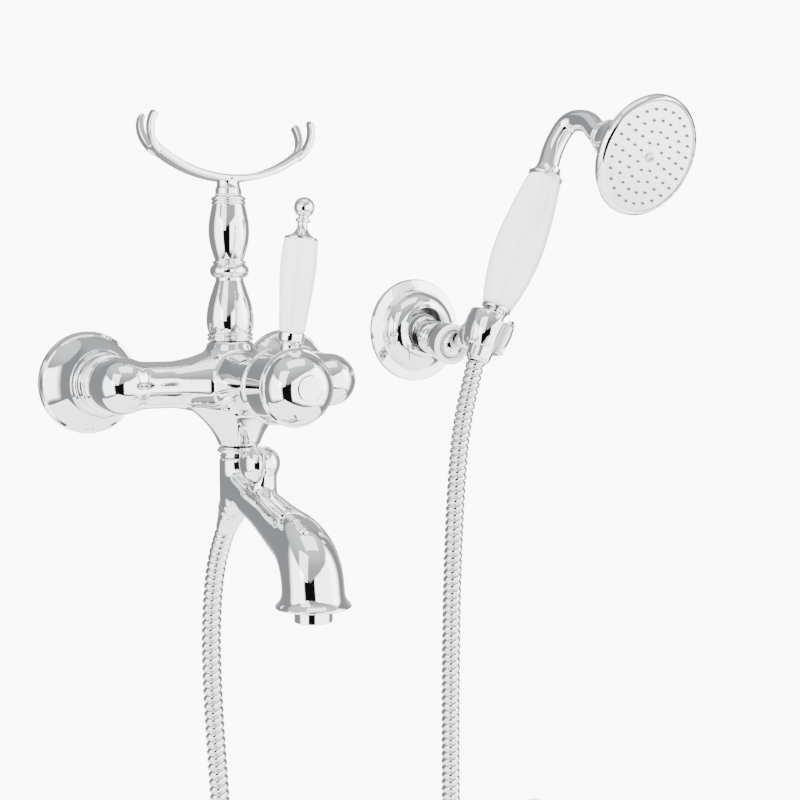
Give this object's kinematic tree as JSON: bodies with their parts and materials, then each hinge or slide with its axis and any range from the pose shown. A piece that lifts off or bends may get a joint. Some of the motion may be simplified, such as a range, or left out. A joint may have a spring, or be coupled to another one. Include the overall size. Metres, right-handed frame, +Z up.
{
  "type": "wall mounted bath faucet",
  "caption": "Wall mounted bath mixer in turned traditional style with a tilting lever, cradle, arched spout, diverter knob, metal hose and a hand shower on its own wall bracket.",
  "frame": {"origin": "on the wall surface, half way between the two inlet axes, at their height", "axes": "+Z up, +X to the right along the mixer as seen by the user, -Y away from the wall towards the user"},
  "size_m": [0.4142, 0.224, 0.8206],
  "materials": {
    "chrome": "polished chrome plate on brass",
    "white_ceramic": "glazed white ceramic",
    "black_rubber": "matt rubber",
    "grey_rubber": "soft silicone nozzles",
    "grey_plastic": "moulded plastic",
    "white_plastic": "white moulded ring",
    "brass": "turned brass",
    "satin_plate": "satin chrome",
    "steel": "stainless steel",
    "hose_steel": "interlocked metal hose, bright"
  },
  "bodies": {
    "wall_fixed": {"aerator_housing": "chrome", "aerator_insert": "grey_plastic", "aerator_seal": "black_rubber", "bracket_plate": "steel", "bracket_rosette": "chrome", "bracket_socket_ring": "white_plastic", "bracket_stem": "chrome", "cartridge_case": "grey_plastic", "cartridge_cover": "chrome", "cartridge_seal": "black_rubber", "check_valves": "grey_plastic", "column_base_ring": "chrome", "column_lower_vase": "chrome", "column_middle_torus": "chrome", "column_stud": "brass", "column_top_ring": "chrome", "column_upper_vase": "chrome", "cradle_washer": "grey_plastic", "diverter_seal": "black_rubber", "hose_nipple": "brass", "hose_nut_mixer": "chrome", "hose_seal_mixer": "black_rubber", "inlet_seals": "black_rubber", "inlet_union_left": "chrome", "inlet_union_right": "chrome", "mixer_casting": "chrome", "rosette_left": "chrome", "rosette_right": "chrome", "shower_hose": "hose_steel", "spout_casting": "chrome", "spout_collar": "chrome", "union_collar_left": "chrome", "union_collar_right": "chrome"},
    "cartridge_core": {"cartridge_yoke": "grey_plastic"},
    "lever": {"cartridge_spindle": "brass", "lever_hub": "chrome", "hub_screw": "brass", "hub_medallion": "chrome", "lever_cup": "chrome", "lever_grip": "white_ceramic", "lever_cap": "chrome", "lever_ball": "chrome", "lever_rod": "brass"},
    "diverter": {"diverter_knob": "chrome", "diverter_spindle": "brass"},
    "cradle": {"cradle_fork": "chrome"},
    "bracket_arm": {"bracket_ball_arm": "chrome", "bracket_clip": "chrome", "bracket_clip_screw": "steel"},
    "hand_shower": {"handset_bell": "chrome", "handset_face": "satin_plate", "handset_face_screw": "steel", "handset_ferrule": "chrome", "handset_grip": "white_ceramic", "handset_hose_nut": "chrome", "handset_inlet": "chrome", "handset_neck": "chrome", "handset_nozzles": "grey_rubber", "handset_rim": "chrome", "handset_seal": "black_rubber"}
  },
  "joints": [
    {"name": "lever_temperature", "type": "hinge", "parent": "wall_fixed", "child": "cartridge_core", "pos_m": [0, -0.139, 0], "axis": [0, 1, 0], "range_deg": [-52, 38]},
    {"name": "lever_flow", "type": "hinge", "parent": "cartridge_core", "child": "lever", "pos_m": [0, -0.139, 0], "axis": [1, 0, 0], "range_deg": [0, 15]},
    {"name": "diverter_turn", "type": "hinge", "parent": "wall_fixed", "child": "diverter", "pos_m": [0, -0.114, -0.0505], "axis": [1, 0, 0], "range_deg": [0, 90]},
    {"name": "cradle_swivel", "type": "hinge", "parent": "wall_fixed", "child": "cradle", "pos_m": [0, -0.07, 0.1254], "axis": [0, 0, 1], "range_deg": [-90, 90]},
    {"name": "bracket_twist", "type": "hinge", "parent": "wall_fixed", "child": "bracket_arm", "pos_m": [0.188, -0.051, 0.02359], "axis": [0.0417, -0.9797, 0.1962], "range_deg": [-42, 20]},
    {"name": "handset_lift", "type": "slide", "parent": "bracket_arm", "child": "hand_shower", "axis": [0.403, -0.0283, 0.9148], "range_m": [0, 0.045]}
  ]
}
